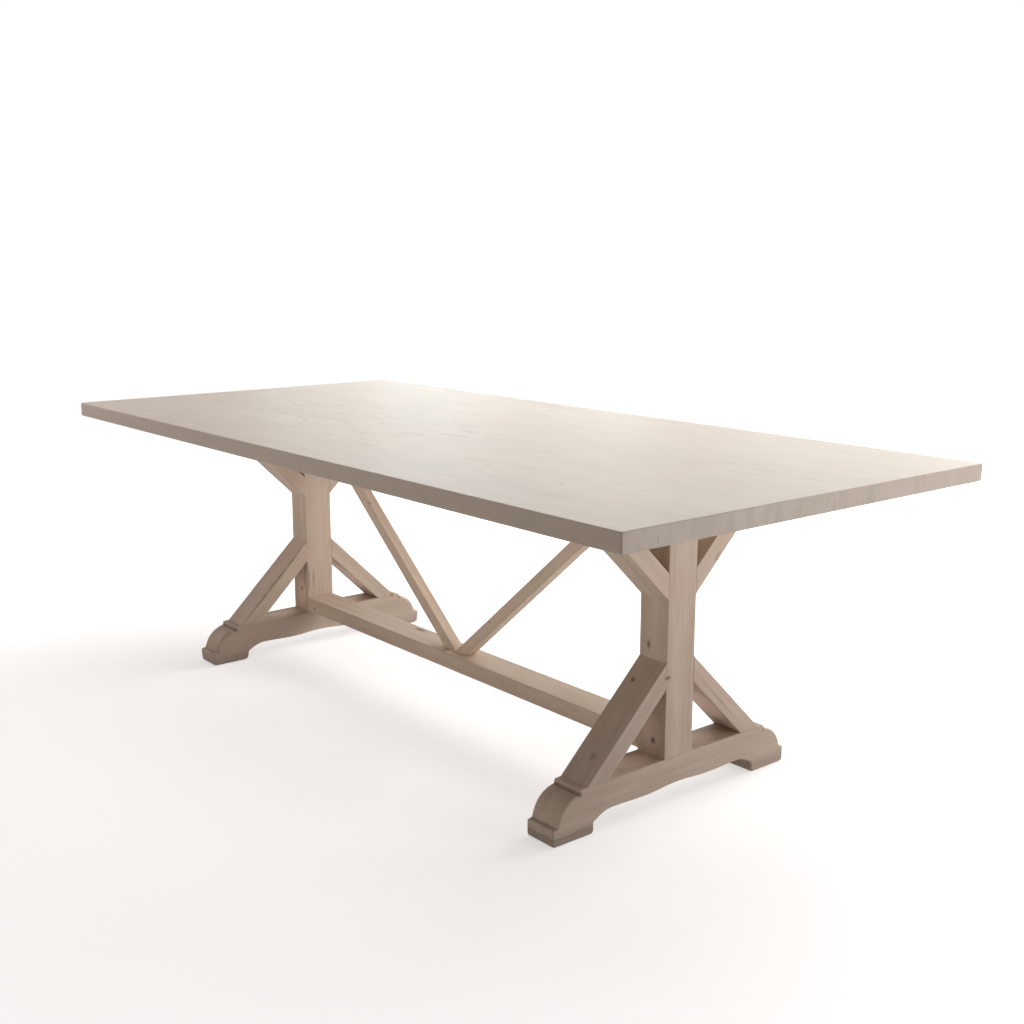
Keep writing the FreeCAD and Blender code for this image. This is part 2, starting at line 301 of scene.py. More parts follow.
def cut_wane(bm, edges, along, share):
    """Chamfers one arris by as much of WANE_WIDTH as share gives at each place along it."""
    corner = edges[0].verts[0].co.copy()
    made = bmesh.ops.bevel(bm, geom=edges, offset=WANE_WIDTH, offset_type="OFFSET", affect="EDGES",
                           segments=1, clamp_overlap=True)
    for vert in made["verts"]:
        on_arris = corner + along * (vert.co - corner).dot(along)
        vert.co = on_arris.lerp(vert.co, share(vert.co))


def arris_edges(bm, axis, along, side):
    """Edges at the far end of the solid along axis that lie furthest to the given side of along."""
    side = (side - along * side.dot(along)).normalized()
    far = max(v.co[axis] for v in bm.verts)
    ends = [v for v in bm.verts if abs(v.co[axis] - far) < SAME_PLACE]
    furthest = max(v.co.dot(side) for v in ends)
    line = {v for v in ends if furthest - v.co.dot(side) < 2 * SAME_PLACE}
    return [e for e in bm.edges if line.issuperset(e.verts)]


def bulges(edge):
    """True where the two faces at an edge make an outer corner."""
    return len(edge.link_faces) == 2 and edge.calc_face_angle_signed() > CORNER_TURN


# ---- Pieces -------------------------------------------------------------------------

def add_object(name, data):
    """Puts a new object in the scene."""
    made = bpy.data.objects.new(name, data)
    bpy.context.scene.collection.objects.link(made)
    return made


def add_grain(mesh, along, pith, shade):
    """Stores where each vertex lies in its tree, along the trunk and then across from the pith, and
    how light the piece is beside the others."""
    upright = abs(along.z) > PARALLEL
    across = along.orthogonal().normalized() if upright else along.cross(AXES[Z]).normalized()
    turn = Matrix((along, across, along.cross(across)))
    layer = mesh.attributes.new("grain", "FLOAT_VECTOR", "POINT")
    for place, vert in zip(layer.data, mesh.vertices):
        place.vector = turn @ (vert.co - pith)
    shades = mesh.attributes.new("shade", "FLOAT", "POINT")
    shades.data.foreach_set("value", [shade] * len(mesh.vertices))


def pith_near(node, along, reach, seed):
    """A seeded place for the heart of the tree, reach or so away from a piece's middle."""
    draw = random.Random(seed)
    low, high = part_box(node)
    side = along.orthogonal().normalized()
    side.rotate(Matrix.Rotation(draw.uniform(0, math.tau), 3, along))
    return ((low + high) / 2 + side * draw.uniform(*PITH_SPREAD) * reach
            + along * draw.uniform(-TRUNK_REACH, TRUNK_REACH))


def piece_from(bm, node, material, along, reach, seed, shade):
    """Makes the bmesh a finished piece that stands for a CAD node."""
    mesh = bpy.data.meshes.new(node + "_wood")
    bm.to_mesh(mesh)
    bm.free()
    mesh.shade_smooth()
    mesh.set_sharp_from_angle(angle=SHARP_TURN)
    add_grain(mesh, along, pith_near(node, along, reach, seed), shade)
    mesh.materials.append(material)
    piece = add_object(node + "_wood", mesh)
    normals = piece.modifiers.new("even_normals", "WEIGHTED_NORMAL")
    normals.keep_sharp = True
    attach(piece, BODY)
    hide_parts(node)


def screw_heads(node):
    """Centre, corner radius and seat of each screw head in a node, read from its vertices."""
    bm = node_bmesh(node)
    heads, todo = [], set(bm.verts)
    while todo:
        island, edge = set(), [todo.pop()]
        while edge:
            vert = edge.pop()
            island.add(vert)
            edge += [v for e in vert.link_edges for v in e.verts if v in todo]
            todo.difference_update(edge)
        points = [v.co for v in island]
        x, y = ((min(p[a] for p in points) + max(p[a] for p in points)) / 2 for a in (X, Y))
        radius = max(math.hypot(p.x - x, p.y - y) for p in points)
        seat = max(p.z for p in points if math.hypot(p.x - x, p.y - y) > RIM_SHARE * radius)
        heads.append((x, y, radius, seat))
    bm.free()
    return sorted(heads)


def bore(bm, node, heads):
    """Cuts the wells of the screws that are driven up through this node."""
    low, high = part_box(node)
    bottom = low.z - WELL_START
    cutter = bmesh.new()
    for x, y, radius, seat in heads:
        if low.x < x < high.x and low.y < y < high.y:
            bmesh.ops.create_cone(cutter, cap_ends=True, segments=WELL_SIDES,
                                  radius1=radius + WELL_GAP, radius2=radius + WELL_GAP,
                                  depth=seat - bottom,
                                  matrix=Matrix.Translation((x, y, (seat + bottom) / 2)))
    meshes = [bpy.data.meshes.new(name) for name in ("blank", "wells")]
    bm.to_mesh(meshes[0])
    cutter.to_mesh(meshes[1])
    cutter.free()
    blank, tool = (add_object(mesh.name, mesh) for mesh in meshes)
    cut = blank.modifiers.new("bore", "BOOLEAN")
    cut.object = tool
    cut.solver = "EXACT"
    bored = blank.evaluated_get(bpy.context.evaluated_depsgraph_get())
    meshes.append(bpy.data.meshes.new_from_object(bored))
    bm.clear()
    bm.from_mesh(meshes[-1])
    for scratch in (blank, tool):
        bpy.data.objects.remove(scratch)
    for mesh in meshes:
        bpy.data.meshes.remove(mesh)


def timber(node, axis, along, material, seed, shade, all_round=False, heads=(), wane=None):
    """Piece of timber over a CAD node: its outline along axis, with eased edges. Only the edges
    along the grain are eased unless all_round. A wane is cut on the far arris that lies furthest to
    the side it names, by the share it gives."""
    low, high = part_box(node)
    points, is_corner = fine_outline(cap_outline(node, axis), WANE_STEP if wane else STRAIGHT_STEP)
    bm, rings = prism(points, axis, high[axis] - low[axis])
    count = len(points)
    eased = []
    for ring in (rings[0], rings[-1]):
        for i in range(count):
            link = (ring[(i + 1) % count].co - ring[i].co).normalized()
            if all_round or abs(link.dot(along)) > PARALLEL:
                eased.append(bm.edges.get((ring[i], ring[(i + 1) % count])))
    if all_round:
        upright = [bm.edges.get((far[i], near[i])) for far, near in zip(rings, rings[1:])
                   for i in range(count) if is_corner[i]]
        eased += [edge for edge in upright if bulges(edge)]
    if wane:
        side, share = wane
        rough = arris_edges(bm, axis, along, side)
        ease(bm, [edge for edge in eased if edge not in rough])
        cut_wane(bm, arris_edges(bm, axis, along, side), along, share)
    else:
        ease(bm, eased)
    if heads:
        bore(bm, node, heads)
    piece_from(bm, node, material, along, PITH_REACH, seed, shade)


def foot(side, material, seed, shade):
    """A foot: its moulded ends are worn rounder than its top and its underside."""
    node = f"{side}_foot"
    low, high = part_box(node)
    end_arris, radii = FOOT_ENDS[side]
    start, end = END_BLEND

    def wanted(point):
        """Easing at a point of the outline, by its distance from the foot's middle."""
        share = (abs(point.y) - END_SLANT * point.z - start) / (end - start)
        return ARRIS + (end_arris - ARRIS) * min(1.0, max(0.0, share))

    points, _ = fine_outline(round_corners(cap_outline(node, X), radii, X))
    bm = eased_prism(points, *easing_along(points, wanted, X), X, high.x - low.x)
    piece_from(bm, node, material, AXES[Y], PITH_REACH, seed, shade)


def longest_side(node, axis):
    """Direction of the longest straight side of a node's outline."""
    corners = cap_outline(node, axis)
    sides = [b - a for a, b in zip(corners, corners[1:] + corners[:1])]
    return max(sides, key=lambda side: side.length).normalized()


def board(number, material):
    """One board of the top: its outer edges and ends are rounded over, its joints left tight."""
    node = f"top_board_{number}"
    low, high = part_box(node)
    middle, half = (low + high) / 2, (high - low) / 2
    outer = [abs(low.y - cad_bounds[0].y) < SAME_PLACE, abs(high.y - cad_bounds[1].y) < SAME_PLACE]
    fixed_y = high.y if outer[0] else low.y
    bm = bmesh.new()
    worn = []

    def ring(x, inset):
        """The board's section at x, taken in from its faces by inset, but not from its joints."""
        squeeze_z = 1 - inset / half.z
        squeeze_y = 1 - inset / (2 * half.y) if any(outer) else 1
        made = []
        for corner, (y_side, z_side) in enumerate(((-1, -1), (1, -1), (1, 1), (-1, 1))):
            radius = TOP_ARRIS if outer[y_side > 0] else SEAM_ARRIS
            for step in range(ARRIS_SEGMENTS + 1):
                angle = math.radians(180 + 90 * (corner + step / ARRIS_SEGMENTS))
                y = middle.y + y_side * (half.y - radius) + radius * math.cos(angle)
                z = z_side * (half.z - radius) + radius * math.sin(angle)
                made.append(bm.verts.new((x, fixed_y + (y - fixed_y) * squeeze_y,
                                          middle.z + z * squeeze_z)))
                if radius == TOP_ARRIS and 0 < step < ARRIS_SEGMENTS:
                    worn.append(made[-1])
        return made

    rounding = [(TOP_ARRIS * (1 - math.cos(angle)), TOP_ARRIS * (1 - math.sin(angle)))
                for angle in (math.pi / 2 * k / ARRIS_SEGMENTS for k in range(ARRIS_SEGMENTS + 1))]
    plain = math.ceil((high.x - low.x) / STRAIGHT_STEP)
    length = high.x - low.x - 2 * TOP_ARRIS
    skin(bm, ([ring(low.x + x, inset) for x, inset in rounding]
              + [ring(low.x + TOP_ARRIS + length * k / plain, 0) for k in range(1, plain)]
              + [ring(high.x - x, inset) for x, inset in reversed(rounding)]))
    sand(worn)
    piece_from(bm, node, material, AXES[X], BOARD_PITH_REACH, number,
               random.Random(number).uniform(*BOARD_SHADES))


# ---- Materials ----------------------------------------------------------------------

def colour(red, green, blue):
    """Linear colour from the usual 0 to 255 values, none of them near black."""
    return tuple(((c / 255 + 0.055) / 1.055) ** 2.4 for c in (red, green, blue)) + (1.0,)


Tones = namedtuple("Tones", "light dark pink khaki heart")
TOP_TONES = Tones(colour(214, 203, 191), colour(176, 162, 148), colour(214, 198, 188),
                  colour(205, 198, 181), colour(120, 98, 80))
FRAME_TONES = Tones(colour(216, 201, 185), colour(176, 157, 140), colour(217, 188, 175),
                    colour(204, 192, 168), colour(88, 66, 52))
SPLINE_TONES = Tones(colour(222, 205, 176), colour(190, 166, 132), colour(224, 204, 180),
                     colour(214, 200, 168), colour(128, 96, 66))
# painted light: paler, pinker wood inside the triangles that the braces shade
PAINTED_LIGHT_COLOUR = colour(240, 214, 201)
# painted shade on the top's long side faces
EDGE_PAINTED_SHADE = (0.82, 0.79, 0.76, 1.0)
ZINC = (colour(196, 196, 190), colour(158, 160, 158))

# Waves per metre of each kind of detail: along the trunk and across it
WANDER_SCALE = (1.6, 9, 9)
FIBRE_SCALE = (9, 420, 420)
STREAK_SCALE = (1.6, 38, 38)
BLOTCH_SCALE = (3.5, 18, 18)
CLOUD_SCALE = (6, 15, 15)
SWIRL_SCALE = (7, 9, 9)
FIGURE_SCALE = (10, 42, 42)
# and along X, Y and Z
PATCH_SCALE = (5.5, 5.5, 7.5)
KNOT_EDGE_SCALE = (260, 260, 260)
STAIN_EDGE_SCALE = (90, 90, 90)
LOW_BAND_SCALE = (30, 30, 30)
BAND_SCALE = (0.6, 34, 5)
FIGURED_SCALE = (2.2, 3.2, 1)
ZINC_SCALE = (900, 900, 250)

# Octaves of a noise, and how strong the finer ones are
CRISP, SOFT = (3.0, 0.6), (3.0, 0.55)

# How each detail comes in: from one level of its noise to another, and how strongly at either
PINK_PATCHES = (0.50, 0.70, 0.0, 0.65)
KHAKI_PATCHES = (0.48, 0.30, 0.0, 0.55)
BLOTCHES = (0.58, 0.78, 0.0, 0.30)
CLOUDS = (0.46, 0.74, 0.0, 0.26)
BANDS = (0.50, 0.66, 0.0, 0.34)
FIGURE = (0.52, 0.68, 0.0, 0.72)
FIGURED_PLACES = (0.52, 0.72, 0.15, 0.7)
ZINC_ROUGHNESS = (0.3, 0.7, 0.30, 0.48)

# and these, from one distance from a spot to another, in its half sizes
STAIN_DEPTH = (1.3, 0.35, 0.0, 0.38)
KNOT_HALO = (2.4, 0.9, 0.0, 0.45)
KNOT_CORE = (1.12, 0.80)
KNOT_BEND = (0.6, 5.0, 0.007, 0.0)      # the growth rings give way by up to 7 mm
# of the painted light inside the braces' triangles
PAINTED_LIGHT_DEPTH = (1.05, 0.70, 0.0, 0.80)
FIGURED_DEPTH = (1.1, 0.3)

YEARS = 210.0               # growth rings per metre of radius
YEAR_CHANGES = 70.0         # how often their widths change, per metre of radius
UNEVEN_YEARS = 2.2          # and by how many years in all
YEAR = (                    # through one of them: how late the wood is, from its start to its end
    (0.0, 0.10), (0.45, 0.22), (0.80, 0.85), (0.92, 1.0), (1.0, 0.10),
)
USUAL_RING = 0.35           # how late the wood is on the whole
RING_BEND = 0.030           # how far the rings wander
TONE_RANGE = (-0.75, 0.95)  # what rings, streaks and fibres come to in the palest and darkest wood
FIGURE_SWEEP = (0.10, 0.085, 0.085)     # how far the figure of the top is swept about

KNOT_CELLS = 11.0           # cells per metre for the scattered knots, of which a few have one,
KNOT_STRETCH = (0.45, 1, 1)     # and share of that along the trunk and across it
KNOT_CHANCE = (0.80, 0.99)  # a cell's random number, where its knot starts to show and is full size
KNOT_SIZE = 0.009           # half the width of a full-size knot
NO_KNOT = 0.001             # a size, in cells, too small to show
KNOT_RAGGED = 0.7           # how uneven the edges of knots and of stains are, in half sizes
STAIN_RAGGED = 0.9
KNOT_RINGS = 19.0           # turns of the rings inside a knot, in radians for each half size
KNOT_RING_DEPTHS = (0.15, 0.55)     # least and most of the dark wood's colour in them
HALO_SHARE = 0.55           # of the heart's colour in the halo round a knot

RELIEF_DEPTH = 0.0007       # of the bump, of which each of these takes its share
RING_RELIEF, FIBRE_RELIEF, KNOT_HOLLOW = 0.45, 0.8, 0.7
LATE_ROUGHNESS = 0.12       # how much rougher the dark wood is

TRESTLE_X = 0.7625          # from the table's middle to that of a trestle
PAD_TOP = 0.042             # height at which the feet's pads start to darken,
PAD_DARKENING = 0.15            # and how far they have
LOW_BAND_TOP = 0.020           # height up to which they are darker still,
LOW_BAND_WAVES = 0.008         # how much its upper edge goes up and down,
LOW_BAND_BLUR = 0.002          # and half the width over which it fades
LOW_BAND_LINE = (0.003, 0.0, 0.0, 0.6)     # darker again within 3 mm of its upper edge
RIGHT_LOW_BAND, LEFT_LOW_BAND = 0.34, 0.10    # how far the lowest part of the front pads has darkened
BACK_LOW_BAND = 0.4            # share of it on the back pads
PAD_REACH = 0.2             # the pads lie further than this from the foot's middle
LOW_SHADE_HEIGHTS = (0.10, 0.55)     # painted shade where the light falls off towards the floor: where it is deepest, and where it ends,
LOW_SHADE_LEVELS = (0.94, 1.05)      # and how light the wood is at each
EDGE_FACING = (0.3, 0.9)    # how squarely a face of the top has to face sideways for EDGE_PAINTED_SHADE
QUIRK_PAINTED_SHADE = (                  # distance from the middle, height, reach and depth of the painted shade in the corner
    (0.297, 0.100, 0.008, 0.62),
    (0.359, 0.040, 0.006, 0.15),
)
QUIRK_BOTTOM = 0.3          # share of the reach within which the painted shade is deepest

MIX_A, MIX_B, MIX_RESULT = 6, 7, 2  # a mix node's colours, which share their names with its vectors


class Tree:
    """Adds nodes to the tree of a material or of a world, and links them. Wherever an input is
    given, it is a socket or a value."""

    def __init__(self, owner):
        owner.use_nodes = True
        self.tree = owner.node_tree
        self.surface = self.tree.nodes.get("Principled BSDF")

    def put(self, socket, value):
        """Links a node's input to a socket, or sets it."""
        if isinstance(value, bpy.types.NodeSocket):
            self.tree.links.new(value, socket)
        else:
            socket.default_value = value

    def finish(self, **looks):
        """Sets the shader's inputs, each named with underscores for its spaces."""
        for name, value in looks.items():
            self.put(self.surface.inputs[name.replace("_", " ")], value)

    def node(self, kind, inputs=(), **settings):
        """Adds a node, given its inputs by name or number and then its settings."""
        made = self.tree.nodes.new("ShaderNode" + kind)
        for name, value in settings.items():
            setattr(made, name, value)
        for key, value in dict(inputs).items():
            self.put(made.inputs[key], value)
        return made

    def math(self, operation, a, b=0.0):
        return self.node("Math", {0: a, 1: b}, operation=operation).outputs[0]

    def swing(self, value, usual, reach):
        """How far the value is from its usual one, times reach."""
        return self.math("MULTIPLY", self.math("SUBTRACT", value, usual), reach)

    def vector(self, operation, a, b=(0, 0, 0)):
        made = self.node("VectorMath", {0: a, 1: b}, operation=operation)
        return made.outputs["Value" if operation in ("LENGTH", "DISTANCE") else "Vector"]

    def scale(self, vector, factor):
        return self.node("VectorMath", {0: vector, "Scale": factor}, operation="SCALE").outputs[0]

    def noise(self, place, stretch, detail=2.0, roughness=0.5, output="Fac"):
        """Noise at a place, with stretch waves per metre along each axis."""
        scaled = self.vector("MULTIPLY", place, stretch)
        return self.node("TexNoise", {"Vector": scaled, "Scale": 1.0, "Detail": detail,
                                      "Roughness": roughness}).outputs[output]

    def drift(self, place, stretch, reach):
        """The place pushed about unevenly, by up to half of reach each way."""
        push = self.vector("SUBTRACT", self.noise(place, stretch, output="Color"), (0.5, 0.5, 0.5))
        return self.vector("ADD", place, self.vector("MULTIPLY", push, reach))

    def ramp(self, value, start, end, low=0.0, high=1.0):
        """Goes from low to high, smoothly, while the value goes from start to end."""
        return self.node("MapRange", {"Value": value, "From Min": start, "From Max": end,
                                      "To Min": low, "To Max": high},
                         interpolation_type="SMOOTHSTEP").outputs["Result"]

    def mix(self, amount, a, b, blend="MIX"):
        """The colour a, with as much of b as the amount says."""
        return self.node("Mix", {"Factor": amount, MIX_A: a, MIX_B: b}, data_type="RGBA",
                         blend_type=blend).outputs[MIX_RESULT]


def nearness(t, place, spots):
    """Distance to the nearest spot, in its own half sizes. A spot is a centre, three half sizes and
    a turn in degrees about X."""
    nearest = None
    for centre, size, turn in spots:
        local = t.node("Mapping", {"Vector": place, "Location": centre, "Scale": size,
                                   "Rotation": (math.radians(turn), 0, 0)},
                       vector_type="TEXTURE").outputs[0]
        distance = t.vector("LENGTH", local)
        nearest = distance if nearest is None else t.math("MINIMUM", nearest, distance)
    return nearest


def knot_nearness(t, place, grain, knots):
    """Distance to the nearest knot, of these and of others scattered in the wood, in its own half
    sizes and with ragged edges."""
    cells = t.node("TexVoronoi", {"Vector": t.vector("MULTIPLY", grain, KNOT_STRETCH),
                                  "Scale": KNOT_CELLS})
    chance = t.node("SeparateColor", {"Color": cells.outputs["Color"]}).outputs[0]
    size = t.ramp(chance, *KNOT_CHANCE, 0.0, KNOT_SIZE * KNOT_CELLS)
    scattered = t.math("DIVIDE", cells.outputs["Distance"], t.math("MAXIMUM", size, NO_KNOT))
    near = t.math("MINIMUM", nearness(t, place, knots), scattered)
    return t.math("ADD", near, t.swing(t.noise(place, KNOT_EDGE_SCALE), 0.5, KNOT_RAGGED))


def growth_rings(t, grain, near_knot):
    """0 in the pale spring wood of each year to 1 in its late wood, bent round the knots."""
    bent = t.drift(grain, WANDER_SCALE, (0, RING_BEND, RING_BEND))
    radius = t.vector("LENGTH", t.vector("MULTIPLY", bent, (0, 1, 1)))
    if near_knot:
        radius = t.math("ADD", radius, t.ramp(near_knot, *KNOT_BEND))
    uneven = t.node("TexNoise", {"W": t.math("MULTIPLY", radius, YEAR_CHANGES), "Scale": 1.0,
                                 "Detail": 1.0}, noise_dimensions="1D").outputs["Fac"]
    years = t.math("ADD", t.math("MULTIPLY", radius, YEARS),
                   t.math("MULTIPLY", uneven, UNEVEN_YEARS))
    ring = t.node("ValToRGB", {"Fac": t.math("FRACT", years)})
    stops = ring.color_ramp.elements
    for position, _ in YEAR[1:-1]:
        stops.new(position)
    for stop, (_, level) in zip(stops, YEAR):
        stop.color = (level, level, level, 1)
    return ring.outputs["Color"]


def pine(name, tones, knots=(), stains=(), rings=0.22, streaks=0.96, fibres=0.45, gloss=0.6,
         relief=0.35, dress=None):
    """Solid bleached pine: growth rings round the pith, fibre, streaks, tinted patches, knots and
    stains. Knots and stains are lists of spots, and wood with knots has scattered ones too. Dress
    adds what one kind of piece has of its own."""
    material = bpy.data.materials.new(name)
    t = Tree(material)
    place = t.node("TexCoord").outputs["Object"]
    grain = t.node("Attribute", attribute_name="grain").outputs["Vector"]
    near = knot_nearness(t, place, grain, knots) if knots else None

    ring = growth_rings(t, grain, near)
    fibre = t.noise(grain, FIBRE_SCALE, *CRISP)
    streak = t.noise(grain, STREAK_SCALE, *SOFT)
    tone = t.math("ADD", t.swing(ring, USUAL_RING, rings), t.swing(streak, 0.5, streaks))
    tone = t.ramp(t.math("ADD", tone, t.swing(fibre, 0.5, fibres)), *TONE_RANGE)
    wood = t.mix(tone, tones.light, tones.dark)
    patches = t.noise(place, PATCH_SCALE, detail=1.5)
    for levels, tint in ((PINK_PATCHES, tones.pink), (KHAKI_PATCHES, tones.khaki)):
        wood = t.mix(t.ramp(patches, *levels), wood, t.mix(tone, tint, tones.dark))
    wood = t.mix(t.ramp(t.noise(grain, BLOTCH_SCALE), *BLOTCHES), wood, tones.dark)
    if dress:
        wood = dress(t, wood, place, grain, tones)
    if stains:
        ragged = t.swing(t.noise(place, STAIN_EDGE_SCALE), 0.5, STAIN_RAGGED)
        stained = t.math("ADD", nearness(t, place, stains), ragged)
        wood = t.mix(t.ramp(stained, *STAIN_DEPTH), wood, tones.heart)
    core = 0.0
    if near:
        halo = t.mix(HALO_SHARE, tones.dark, tones.heart)
        wood = t.mix(t.ramp(near, *KNOT_HALO), wood, halo)
        core = t.ramp(near, *KNOT_CORE)
        knot_rings = t.math("SINE", t.math("MULTIPLY", near, KNOT_RINGS))
        knot_rings = t.ramp(knot_rings, -1.0, 1.0, *KNOT_RING_DEPTHS)
        wood = t.mix(core, wood, t.mix(knot_rings, tones.heart, tones.dark))
    # The piece's own tone, and for the timbers partly painted light and shade
    wood = t.scale(wood, t.node("Attribute", attribute_name="shade").outputs["Fac"])

    height = t.math("ADD", t.math("MULTIPLY", ring, RING_RELIEF),
                    t.math("MULTIPLY", fibre, FIBRE_RELIEF))
    height = t.math("SUBTRACT", height, t.math("MULTIPLY", core, KNOT_HOLLOW))
    bump = t.node("Bump", {"Height": height, "Strength": relief, "Distance": RELIEF_DEPTH})
    t.finish(Base_Color=wood, Normal=bump.outputs[0],
             Roughness=t.ramp(tone, 0.0, 1.0, gloss, gloss + LATE_ROUGHNESS))
    return material


def frame_dress(t, wood, place, grain, tones, low_band):
    """Painted shade in the quirks of the feet, darker bands low on their pads, painted shade low
    down and painted light inside the triangles that the braces shade."""
    _, across, up = t.node("SeparateXYZ", {0: place}).outputs
    section = t.node("CombineXYZ", {Y: t.math("ABSOLUTE", across), Z: up}).outputs[0]
    # Painted shade in the quirks and at the pads' ledges, where these corners fall in shadow
    for y, z, reach, depth in QUIRK_PAINTED_SHADE:
        away = t.vector("DISTANCE", section, (0, y, z))
        wood = t.mix(t.ramp(away, reach, reach * QUIRK_BOTTOM, 0.0, depth), wood, tones.heart)
    # Painted light: paler, pinker wood inside the triangles that the braces shade
    painted_light = t.ramp(nearness(t, place, PAINTED_LIGHT_SPOTS), *PAINTED_LIGHT_DEPTH)
    wood = t.mix(painted_light, wood, PAINTED_LIGHT_COLOUR)
    # The pads darker towards the floor, with a darker band at the bottom
    level = t.math("ADD", up, t.swing(t.noise(place, LOW_BAND_SCALE), 0.5, LOW_BAND_WAVES))
    wood = t.mix(t.ramp(level, PAD_TOP, LOW_BAND_TOP, 0.0, PAD_DARKENING), wood, tones.heart)
    band_depth = t.ramp(across, PAD_REACH, -PAD_REACH, BACK_LOW_BAND * low_band, low_band)
    below = t.ramp(level, LOW_BAND_TOP + LOW_BAND_BLUR, LOW_BAND_TOP - LOW_BAND_BLUR)
    line = t.ramp(t.math("ABSOLUTE", t.math("SUBTRACT", level, LOW_BAND_TOP)), *LOW_BAND_LINE)
    for mask in (below, line):
        wood = t.mix(t.math("MULTIPLY", mask, band_depth), wood, tones.heart)
    # Painted shade: the frame darker low down, where less light reaches it
    return t.scale(wood, t.ramp(up, *LOW_SHADE_HEIGHTS, *LOW_SHADE_LEVELS))


def top_dress(t, wood, place, grain, tones):
    """Bands down the ends, wavy figure in the bleached face and painted shade on the long side
    faces.
    """
    normal = t.node("SeparateXYZ", {0: t.node("TexCoord").outputs["Normal"]}).outputs
    on_end, on_edge = (t.math("ABSOLUTE", normal[axis]) for axis in (X, Y))
    bands = t.ramp(t.noise(place, BAND_SCALE, detail=1.0), *BANDS)
    wood = t.mix(t.math("MULTIPLY", bands, on_end), wood, tones.dark)
    wood = t.mix(t.ramp(t.noise(grain, CLOUD_SCALE, *CRISP), *CLOUDS), wood, tones.dark)
    figure = t.noise(t.drift(grain, SWIRL_SCALE, FIGURE_SWEEP), FIGURE_SCALE, *SOFT)
    where = t.math("MAXIMUM", t.ramp(nearness(t, place, FIGURED), *FIGURED_DEPTH),
                   t.ramp(t.noise(place, FIGURED_SCALE), *FIGURED_PLACES))
    wood = t.mix(t.math("MULTIPLY", t.ramp(figure, *FIGURE), where), wood, tones.dark)
    # Painted shade on the top's front and back faces
    return t.mix(t.ramp(on_edge, *EDGE_FACING), wood, EDGE_PAINTED_SHADE, "MULTIPLY")


def zinc():
    """Zinc-plated steel with faint turning marks."""
    material = bpy.data.materials.new("zinc_plate")
    t = Tree(material)
    cloud = t.noise(t.node("TexCoord").outputs["Object"], ZINC_SCALE, detail=3.0)
    t.finish(Base_Color=t.mix(cloud, *ZINC), Roughness=t.ramp(cloud, *ZINC_ROUGHNESS), Metallic=1.0)
    return material


PAINTED_LIGHT_SPOTS = tuple(          # painted light inside the triangles between post, braces and foot or bearer, where they shade the wood
    ((x, y_side * y, z), (0.047, size, size), 0)
    for x in (-TRESTLE_X, TRESTLE_X) for y_side in (-1, 1)
    for y, z, size in ((0.105, 0.165, 0.085), (0.085, 0.640, 0.062)))
FIGURED = (((-0.25, -0.10, 0.762), (0.75, 0.34, 0.05), 0),)

RIGHT_KNOTS = (
    ((0.7486, -0.044, 0.3645), (0.004, 0.012, 0.0075), 0),
    ((0.7687, -0.044, 0.1454), (0.005, 0.010, 0.006), 0),
    ((0.8050, -0.040, 0.2999), (0.012, 0.006, 0.0035), 0),
    ((0.7458, -0.0881, 0.2914), (0.0045, 0.006, 0.004), 0),
)
RIGHT_STAINS = (
    ((0.805, 0.1232, 0.2206), (0.004, 0.100, 0.0018), -45.3),     # dark grain, back lower brace
    ((0.805, 0.1103, 0.5537), (0.004, 0.016, 0.006), 48),         # back upper brace
    ((0.750, -0.1204, 0.5150), (0.020, 0.020, 0.010), -45),       # front upper brace
    ((0.7688, -0.2285, 0.1558), (0.010, 0.012, 0.006), 44),       # front lower brace
)
LEFT_KNOTS = (
    ((-0.7592, -0.044, 0.1779), (0.004, 0.010, 0.004), 0),
    ((-0.6886, -0.044, 0.1250), (0.0035, 0.008, 0.0035), 0),
    ((-0.7200, -0.3704, 0.0604), (0.010, 0.005, 0.007), 0),
    ((-0.2199, 0.0252, 0.1565), (0.016, 0.006, 0.008), 0),
    ((-0.7200, 0.2697, 0.1130), (0.006, 0.006, 0.004), 0),
)
LEFT_STAINS = (
    ((-0.7395, -0.044, 0.1403), (0.0016, 0.006, 0.013), 0),       # crack in the post
    ((-0.7330, -0.044, 0.2440), (0.0040, 0.006, 0.012), 0),       # head of the post's wane
    ((-0.7200, -0.0245, 0.2150), (0.006, 0.0045, 0.032), 0),      # its borders, on two of the faces
    ((-0.7400, -0.0440, 0.2150), (0.006, 0.006, 0.036), 0),
    ((-0.7240, -0.160, 0.2180), (0.0050, 0.175, 0.0045), 44),     # bark edge, front lower brace
    ((0.1479, -0.016, 0.2721), (0.007, 0.008, 0.005), 0),         # pale knots of the struts
    ((-0.4097, -0.016, 0.5018), (0.005, 0.008, 0.007), 0),
)
TOP_STAINS = (
    ((1.1710, -0.4646, 0.7368), (0.004, 0.0016, 0.012), 0),
    ((0.5150, -0.3088, 0.7620), (0.010, 0.006, 0.004), 0),
    ((0.7696, -0.3274, 0.7620), (0.012, 0.005, 0.004), 0),
    ((0.0644, 0.1423, 0.7620), (0.008, 0.006, 0.004), 0),
)

top_pine = pine("bleached_pine_top", TOP_TONES, stains=TOP_STAINS, rings=0.07, streaks=0.168,
                fibres=0.22, gloss=0.40, relief=0.12, dress=top_dress)
right_pine = pine("bleached_pine_right", FRAME_TONES, RIGHT_KNOTS, RIGHT_STAINS,
                  dress=partial(frame_dress, low_band=RIGHT_LOW_BAND))
left_pine = pine("bleached_pine_left", FRAME_TONES, LEFT_KNOTS, LEFT_STAINS,
                 dress=partial(frame_dress, low_band=LEFT_LOW_BAND))
spline_pine = pine("plain_pine", SPLINE_TONES)
steel = zinc()


# ---- Assembly -----------------------------------------------------------------------

